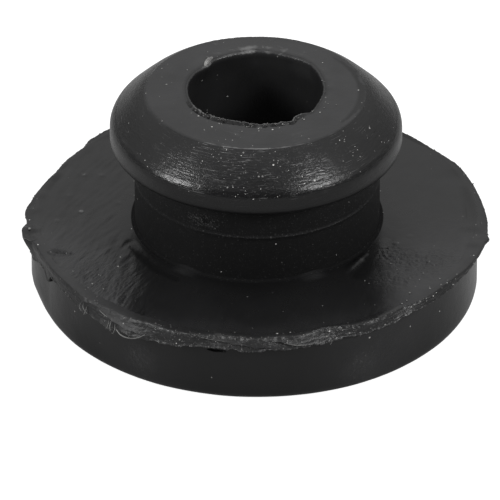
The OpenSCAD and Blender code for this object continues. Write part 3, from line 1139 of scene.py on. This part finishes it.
def mark_flash(mesh):
    """The lip's own torn outline, with its ear, its steps and its flaps, and
    the strips folded over its face."""
    x, y, z, turn, out = points_of(mesh)
    outer = rise(out, FLASH_IN + 0.2, FLASH_TOP_R)
    lower = rise(-z, -FLANGE_TOP, -FLASH_LOW_Z)
    top_out = np.maximum(follow(turn, LIP_TOP_EDGE), -0.12)
    low_out = follow(turn, LIP_LOW_EDGE)
    step = (top_out * (1 - lower) + low_out * lower) * outer
    tear = follow(turn, LIP_TEAR)
    at_brow = rise(out, FLASH_TOP_R - 0.12, FLASH_TOP_R - 0.02) * (1 - rise(lower, 0, 0.15))
    step += BROW_FRAY * (0.15 + tear) * at_brow * ripple(turn, (61, 97, 151, 233), 1.1)
    step += HEM_FRAY * (0.3 + tear) * rise(lower, 0.85, 1) * ripple(turn, (43, 71, 127, 211), 2.9)
    z += BROW_WAVE * outer * (1 - lower) * ripple(turn, (7, 13, 19), 0.7)
    z += BROW_NICKS * (0.2 + tear) * at_brow * ripple(turn, (47, 67, 109, 173), 0.4)
    z += outer * lower * (HEM_WAVE * ripple(turn, (7, 19, 37, 89), 1.9) + follow(turn, LIP_LIFT))
    for centre, half, drop in FLAPS:
        z -= drop * outer * rise(lower, 0.5, 1) * bump_round(turn, centre, half)
    face = rise(out, FLASH_TOP_R - 0.3, FLASH_TOP_R) * (z > FLASH_LOW_Z - 0.02)
    for (first, first_z), (last, last_z), tall in FOLDS:
        share = np.clip((turn - first) / (last - first), 0, 1)
        line = first_z + (last_z - first_z) * share + 0.03 * ripple(turn, (31, 77), 0.5)
        within = np.sin(np.pi * share) ** 0.5
        above = np.exp(-np.clip(z - line, 0, 9) / 0.16) * (z > line)
        step += tall * within * above * face
    turned_out(x, y, turn, step)
    z -= ROLL_DROP * follow(turn, LIP_ROLLED) * rise(np.hypot(x, y), 10.75, 11.5) * (1 - lower)
    z += lumped(x, y) * (1 - rise(lower, 0, 0.4)) * rise(np.hypot(x, y), FLASH_IN, FLASH_IN + 0.1)
    moved_to(mesh, x, y, z)

    inside = FLASH_TOP_R + top_out - np.hypot(x, y)
    edges = swell(lower, 0.02, 0.08) * (1 - rise(inside, 0.02, 0.13)) + swell(lower, 0.98, 0.08)
    edges *= np.clip(0.75 + 0.5 * ripple(turn, (11, 23, 41), 1.4), 0, 1)
    on_top = (lower < 0.02) * rise(inside, 0, 0.1)
    # On the lip's top the same share also paints the dark neck's reflection in front.
    dust = np.where(on_top > 0, dust_and_painted_reflection_on_top(x, y), 1)
    give_share(mesh, "dusty", share_of(mesh, "dusty") * dust)
    matte = share_of(mesh, "matte") * (0.4 + 0.6 * dust)
    give_share(mesh, "matte", np.maximum(matte, 0.9 * swell(turn, DULL_LIP[0], DULL_LIP[1])))
    give_share(mesh, "burred", (edges + 0.35 * tear * face) * follow(turn, LIP_CRUMBS))
    give_share(mesh, "edge", np.clip(edges, 0, 1) * np.clip(1.2 * tear, 0, 1))
    give_share(mesh, "torn", share_of(mesh, "torn") * np.clip(0.04 + tear, 0, 1.1))


torn_rubber = bpy.data.materials.new("torn_rubber")
flash = swept("torn_flash", flash_runs(), FLASH_COLUMNS, torn_rubber, ridges=0.045, grain=0.035, length=6.0)
mark_flash(flash.data)


def finish_torn_rubber(material):
    """Torn rubber: drawn-out fibres and pale burrs where it tore roughly, and
    the same skin as the moulding's where it is whole."""
    tree, surface, place = opened(material)
    torn, matte, dusty, edge = carried(tree, "torn", "matte", "dusty", "edge")
    grain, mottle, blotch = grained(tree, place, 0.06, 0.35)
    dust = dusted(tree, place, 0.16, 0.034, blend(tree, torn, 0.06, 0.35))
    x, y, z, out = split(tree, place)
    swaying = layered(tree, reckon(tree, "DIVIDE", z, 0.09), (noise(tree, place, 1.3, 2.0), 3.0))
    fibres = noise(tree, drawn_round(tree, x, y, out, 16.0, swaying), 1.0, 3.0, 0.65)
    ragged = layered(tree, times(tree, fibres, 0.8), (grain, 1.3), (edge, 0.2))
    burr = times(tree, beyond(tree, ragged, 0.25, 0.75), reckon(tree, "MAXIMUM", torn, edge))
    colour = painted(
        tree,
        (times(tree, dusty, blend(tree, blotch, 0.6, 1.3)), DUSTY_RUBBER),
        (times(tree, torn, blend(tree, blotch, 0.2, 0.9)), TORN_RUBBER),
        (burr, BURR_PALE),
        (dust, PALE_DUST),
    )
    rough = layered(tree, blend(tree, matte, 0.15, 0.62), (mottle, 0.06))
    height = layered(tree, times(tree, grain, 0.007), (fibres, 0.016), (mottle, 0.01))
    dressed(tree, surface, colour, rough, times(tree, height, blend(tree, torn, 0.15, 1.0)))


finish_torn_rubber(torn_rubber)
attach(flash, "root")


# ---------------------------------------------------------------------------
# Crumbs of torn rubber that still cling to the lip's two edges and to the
# mouth of the bore, left there when the flash was pulled off.
# ---------------------------------------------------------------------------

def crumbs_tree():
    """Scatters crumbs over a torn skin, thickest where it is burred."""
    sizes = dict.fromkeys(("Per square metre", "Smallest", "Largest"), "Float")
    inputs = {"Torn skin": "Geometry", **sizes, "Seed": "Int", "Rubber": "Material"}
    tree, given, made = node_group("Geometry", "clinging_crumbs", inputs, {"Crumbs": "Geometry"})

    def drawn_lots(kind, lowest, highest):
        lots = {lowest[0]: lowest[1], highest[0]: highest[1], "Seed": given["Seed"]}
        return put(tree, "FunctionNodeRandomValue", lots, data_type=kind)

    burred = put(tree, "GeometryNodeInputNamedAttribute", {"Name": "burred"}, data_type="FLOAT").outputs[0]
    scatter = put(tree, "GeometryNodeDistributePointsOnFaces", {
        "Mesh": given["Torn skin"],
        "Density": times(tree, burred, given["Per square metre"]),
        "Seed": given["Seed"],
    })
    crumb = put(tree, "GeometryNodeMeshIcoSphere", {"Radius": 1.0, "Subdivisions": 1})
    size = drawn_lots("FLOAT", ("Min", given["Smallest"]), ("Max", given["Largest"])).outputs[1]
    stretch = drawn_lots("FLOAT_VECTOR", (0, (0.6, 0.6, 0.6)), (1, (2.2, 1.0, 1.2))).outputs[0]
    spin = drawn_lots("FLOAT_VECTOR", (0, (-math.pi,) * 3), (1, (math.pi,) * 3)).outputs[0]
    scale = put(tree, "ShaderNodeVectorMath", {0: stretch, "Scale": size}, operation="SCALE").outputs[0]
    laid = put(tree, "GeometryNodeInstanceOnPoints", {
        "Points": scatter.outputs["Points"],
        "Instance": crumb.outputs["Mesh"],
        "Rotation": spin,
        "Scale": scale,
    })
    whole = put(tree, "GeometryNodeRealizeInstances", {"Geometry": laid.outputs[0]})
    done = put(tree, "GeometryNodeSetMaterial", {"Geometry": whole.outputs[0], "Material": given["Rubber"]})
    tree.links.new(done.outputs[0], made["Crumbs"])
    return tree


def finished_crumbs(name, pale):
    """Crumbled rubber, black to pale from one bit to the next."""
    material = bpy.data.materials.new(name)
    tree, surface, place = opened(material)
    skin = grained(tree, place, 0.05, 0.25)
    surface.inputs["Roughness"].default_value = 0.45
    tree.links.new(tinted(tree, skin["Blotch"], TORN_RUBBER, pale), surface.inputs["Base Color"])
    bump = put(tree, "ShaderNodeBump", {"Height": skin["Grain"], "Distance": 0.005 * MM})
    tree.links.new(bump.outputs[0], surface.inputs["Normal"])
    return material


crumb_rubber = finished_crumbs("crumb_rubber", (0.2, 0.195, 0.19))
crumbs = crumbs_tree()
lip_crumbs = grown("lip_crumbs", flash.data.copy(), crumbs, {
    "Per square metre": 4.0e7,
    "Smallest": 0.012 * MM,
    "Largest": 0.04 * MM,
    "Seed": 11,
    "Rubber": crumb_rubber,
})
mouth_crumbs = grown("mouth_crumbs", head.data.copy(), crumbs, {
    "Per square metre": 6.0e7,
    "Smallest": 0.015 * MM,
    "Largest": 0.045 * MM,
    "Seed": 5,
    "Rubber": crumb_rubber,
})
for crumbled in (lip_crumbs, mouth_crumbs):
    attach(crumbled, "root")


# ---------------------------------------------------------------------------
# Torn fibres: thin strands of rubber that drew out and curled up when the
# flash was pulled off, and one pale tag left at the back of the bore's mouth.
# ---------------------------------------------------------------------------

# Each strand: half its thickness, then angle, radius and height along it.
FIBRES = [
   
    (0.03, [
        (234, 11.8, 3.2), (236, 11.93, 3.08), (238.5, 11.93, 3.08), (240.5, 11.85, 3.2), (242, 11.7, 3.4),
    ]),
    (0.02, [(231.7, 11.5, 3.5), (232.1, 11.78, 3.2), (232.4, 11.82, 2.95)]),
    (0.015, [(230.9, 11.5, 3.4), (231.4, 11.8, 3.15), (231.0, 11.82, 2.98)]),
    (0.016, [(233.0, 11.6, 3.3), (233.6, 11.82, 3.1), (233.2, 11.82, 2.92), (232.6, 11.8, 2.88)]),
    (0.018, [(221.5, 11.4, 3.5), (222.5, 11.62, 3.38), (224.1, 11.66, 3.2)]),
    (0.015, [(222.8, 11.4, 3.45), (223.4, 11.68, 3.2), (223.0, 11.7, 3.04)]),
    (0.015, [(220.7, 11.4, 3.45), (221.1, 11.6, 3.28), (221.9, 11.64, 3.12)]),
    (0.02, [(226.0, 11.3, 3.55), (228.5, 11.5, 3.56), (231.0, 11.5, 3.42)]),
    (0.018, [(276.5, 11.45, 3.56), (279.0, 11.52, 3.46), (282.0, 11.46, 3.32)]),
    (0.018, [(287.5, 11.3, 3.62), (288.6, 11.42, 3.4), (288.2, 11.44, 3.16)]),
    (0.014, [(256.0, 11.4, 3.7), (259.0, 11.42, 3.66), (262.0, 11.36, 3.58)]),
]
TAG = (0.12, [(124.5, 3.98, 11.0), (128.0, 3.86, 11.06), (132.5, 3.72, 11.06), (136.5, 3.58, 11.0)])


def strand(curve, half, points):
    """Adds a strand that tapers to both ends, through points round the axis."""
    line = curve.splines.new("BEZIER")
    line.bezier_points.add(len(points) - 1)
    last = len(points) - 1
    for number, (point, (turn, radius, height)) in enumerate(zip(line.bezier_points, points)):
        way = math.radians(turn)
        point.co = Vector((radius * math.cos(way), radius * math.sin(way), height)) * MM
        point.handle_left_type = point.handle_right_type = "AUTO"
        point.radius = half * (0.5 if number in (0, last) else 1)


def strands(name, parts, material):
    """A mesh of strands, with their ends closed."""
    curve = bpy.data.curves.new(name, "CURVE")
    curve.dimensions = "3D"
    curve.bevel_depth = MM
    curve.bevel_resolution = 2
    curve.resolution_u = 8
    curve.use_fill_caps = True
    for half, points in parts:
        strand(curve, half, points)
    drawn = placed(name, curve)
    bpy.context.view_layer.update()
    mesh = bpy.data.meshes.new_from_object(drawn.evaluated_get(bpy.context.evaluated_depsgraph_get()))
    bpy.data.objects.remove(drawn)
    mesh.name = name
    mesh.materials.clear()
    mesh.materials.append(material)
    piece = placed(name, mesh)
    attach(piece, "root")


def grains(name, places, material):
    """A mesh of small round grains, each given by its place and radius."""
    ball = bmesh.new()
    bmesh.ops.create_icosphere(ball, subdivisions=2, radius=1)
    corners = np.array([corner.co[:] for corner in ball.verts])
    sides = np.array([[corner.index for corner in face.verts] for face in ball.faces])
    ball.free()
    every = [corners * (radius, radius, 0.7 * radius) + (x, y, z) for x, y, z, radius in places]
    faces = [sides + number * len(corners) for number in range(len(places))]
    mesh = bpy.data.meshes.new(name)
    mesh.from_pydata((np.concatenate(every) * MM).tolist(), [], np.concatenate(faces).tolist())
    mesh.materials.append(material)
    mesh.polygons.foreach_set("use_smooth", np.ones(len(mesh.polygons), dtype=bool))
    piece = placed(name, mesh)
    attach(piece, "root")


# Single grains that lie on the flange, the neck and the land: place and radius.
# One pale grain on the lip's ear is a painted highlight instead.
GRAINS_AND_EAR_HIGHLIGHT = [
    (-8.13, -6.36, 3.82, 0.041), (-8.33, -6.74, 3.82, 0.03), (-7.58, -6.83, 3.82, 0.026),
    (-6.88, -4.77, 3.82, 0.038), (-7.83, -5.52, 3.82, 0.022), (-6.78, -3.93, 3.84, 0.026),
    # (-11.32, -1.42, 3.93, 0.07) on this line is a painted highlight on the lip's ear.
    (-9.1, -5.2, 3.82, 0.019), (-11.32, -1.42, 3.93, 0.07), (7.5, -7.2, 3.83, 0.05),
    (7.35, -7.9, 3.83, 0.03), (7.55, -8.5, 3.83, 0.045), (7.1, -8.2, 3.83, 0.04), (7.7, -8.3, 3.83, 0.03),
    (9.05, -6.46, 3.83, 0.045), (9.35, -6.31, 3.83, 0.04), (9.65, -6.45, 3.83, 0.048),
    (9.85, -5.5, 3.83, 0.03), (8.5, -6.8, 3.83, 0.032), (8.0, -6.0, 3.83, 0.026), (8.8, -7.2, 3.83, 0.026),
    (6.6, -4.5, 3.83, 0.026), (6.9, -5.1, 3.83, 0.024), (8.2, -5.4, 3.83, 0.026), (9.0, -5.9, 3.83, 0.03),
    (8.3, -7.7, 3.83, 0.03), (8.0, -8.0, 3.83, 0.026), (5.3, -6.1, 3.83, 0.024), (3.2, -8.4, 3.83, 0.026),
    (-6.11, -0.6, 6.2, 0.03), (-6.1, -0.75, 5.45, 0.038), (-5.94, -1.43, 5.66, 0.026),
    (-6.23, -1.58, 4.02, 0.045), (6.13, 0.4, 5.0, 0.038), (-4.5, 0.72, 11.01, 0.05),
    (-4.83, -0.46, 11.01, 0.036), (-4.13, -1.12, 11.01, 0.022), (-0.75, -3.74, 11.01, 0.034),
    (0.07, -3.69, 11.01, 0.03), (-2.6, -3.6, 11.01, 0.032), (3.9, -1.2, 11.01, 0.022),
    (-2.9, -2.3, 11.02, 0.055), (-1.88, -2.99, 11.01, 0.036), (-1.75, -3.04, 11.01, 0.022),
    (-0.65, -3.25, 11.01, 0.022), (-0.52, -3.29, 11.01, 0.036), (-0.42, -3.27, 11.01, 0.022),
    (0.06, -3.48, 11.01, 0.04), (0.12, -3.4, 11.01, 0.024), (0.2, -3.42, 11.01, 0.022),
    (1.24, -3.08, 11.03, 0.042), (1.34, -3.1, 11.02, 0.024), (1.52, -3.05, 11.02, 0.026),
    (2.3, -2.62, 11.02, 0.042), (2.22, -2.52, 11.03, 0.026), (3.38, -0.52, 11.01, 0.038),
    (3.36, -0.95, 11.01, 0.026), (3.09, -1.94, 11.01, 0.042), (3.3, -1.5, 11.01, 0.024),
    (3.5, -1.1, 11.01, 0.02), (3.2, 1.1, 11.01, 0.026),
]

strands("lip_fibres", FIBRES, finished_crumbs("fibre_rubber", (0.3, 0.3, 0.29)))
strands("mouth_tag", [TAG], finished_crumbs("tag_rubber", (0.7, 0.69, 0.67)))
grains("loose_grains", GRAINS_AND_EAR_HIGHLIGHT, finished_crumbs("grain_dust", (0.6, 0.6, 0.58)))


# ---------------------------------------------------------------------------
# The studio: a pale floor that runs on without an edge, a soft sky, a
# softbox on either side and a long lens.
# ---------------------------------------------------------------------------

ELEVATION = math.radians(32.25)
DISTANCE = 0.44
AIM = Vector((-0.36 * MM, 0, 1.77 * MM))
VIEW_WIDTH = 25.0 * MM
SENSOR = 36.0

camera = placed("camera", bpy.data.cameras.new("camera"))
camera.data.sensor_width = SENSOR
camera.data.lens = SENSOR * DISTANCE / VIEW_WIDTH
camera.location = AIM + DISTANCE * Vector((0, -math.cos(ELEVATION), math.sin(ELEVATION)))
camera.rotation_euler = (math.pi / 2 - ELEVATION, 0, 0)
camera.data.clip_start = 0.01
camera.data.clip_end = 10
bpy.context.scene.camera = camera

FLOOR_HALF = 2.0
FLOOR_GREY = (0.4, 0.4, 0.4, 1)
FLOOR_WHITE = 0.9
FLOOR_SHINE = 0.14
# Where the floor begins to shine behind the piece, in metres.
SHINE_START = -0.012

floor_mesh = bpy.data.meshes.new("floor")
corners = [(-1, -1), (1, -1), (1, 1), (-1, 1)]
floor_mesh.from_pydata([(FLOOR_HALF * x, FLOOR_HALF * y, 0) for x, y in corners], [], [(0, 1, 2, 3)])
floor = placed("floor", floor_mesh)


def eased(tree, value, start, end, low, high):
    """A value that eases from low at the start to high at the end."""
    inputs = {"Value": value, "From Min": start, "From Max": end, "To Min": low, "To Max": high}
    return put(tree, "ShaderNodeMapRange", inputs, interpolation_type="SMOOTHSTEP").outputs[0]


paper = bpy.data.materials.new("floor_paper")
paper.use_nodes = True
paper_tree = paper.node_tree
paper_surface = paper_tree.nodes["Principled BSDF"]
paper_surface.inputs["Base Color"].default_value = FLOOR_GREY
paper_surface.inputs["Roughness"].default_value = 0.9
paper_surface.inputs["Specular IOR Level"].default_value = 0.0
ray = put(paper_tree, "ShaderNodeLightPath").outputs
spot = put(paper_tree, "ShaderNodeTexCoord").outputs["Object"]
far = put(paper_tree, "ShaderNodeSeparateXYZ", {0: spot}).outputs["Y"]
shining = times(paper_tree, ray["Is Glossy Ray"], eased(paper_tree, far, SHINE_START, 0.0, 0.0, FLOOR_SHINE))
strength = layered(paper_tree, shining, (ray["Is Camera Ray"], FLOOR_WHITE))
glow = put(paper_tree, "ShaderNodeEmission", {"Strength": strength})
both = put(paper_tree, "ShaderNodeAddShader", {0: paper_surface.outputs[0], 1: glow.outputs[0]})
paper_tree.links.new(both.outputs[0], paper_tree.nodes["Material Output"].inputs["Surface"])
floor_mesh.materials.append(paper)

SKY_LOW = 0.1
SKY_BACK = 0.2
SKY_HIGH = 0.63
FRONT_SHARE = 0.1

sky = bpy.data.worlds.new("studio")
bpy.context.scene.world = sky
sky.use_nodes = True
sky_tree = sky.node_tree
way = put(sky_tree, "ShaderNodeTexCoord").outputs["Generated"]
heading = put(sky_tree, "ShaderNodeSeparateXYZ", {0: way}).outputs
low = eased(sky_tree, heading["Y"], 0.2, 0.8, SKY_LOW, SKY_BACK)
level = eased(sky_tree, heading["Z"], 0.0, 0.6, low, SKY_HIGH)
share = eased(sky_tree, heading["Y"], -0.75, 0.0, FRONT_SHARE, 1.0)
backdrop = sky_tree.nodes["Background"]
backdrop.inputs["Color"].default_value = (1, 1, 1, 1)
sky_tree.links.new(times(sky_tree, level, share), backdrop.inputs["Strength"])


SOFTBOX_AWAY = 0.3


def softbox(name, azimuth, elevation, across, power):
    """A square softbox, facing the piece."""
    lamp = bpy.data.lights.new(name, "AREA")
    lamp.size = across
    lamp.energy = power
    box = placed(name, lamp)
    side, up = math.radians(azimuth), math.radians(elevation)
    way = Vector((math.sin(side) * math.cos(up), -math.cos(side) * math.cos(up), math.sin(up)))
    box.location = SOFTBOX_AWAY * way
    box.rotation_mode = "QUATERNION"
    box.rotation_quaternion = box.location.to_track_quat("Z", "Y")


softbox("left_softbox", -64, 28, 0.08, 0.4)
softbox("right_softbox", 53, 34, 0.08, 0.4)

bpy.context.scene.view_settings.view_transform = "Standard"
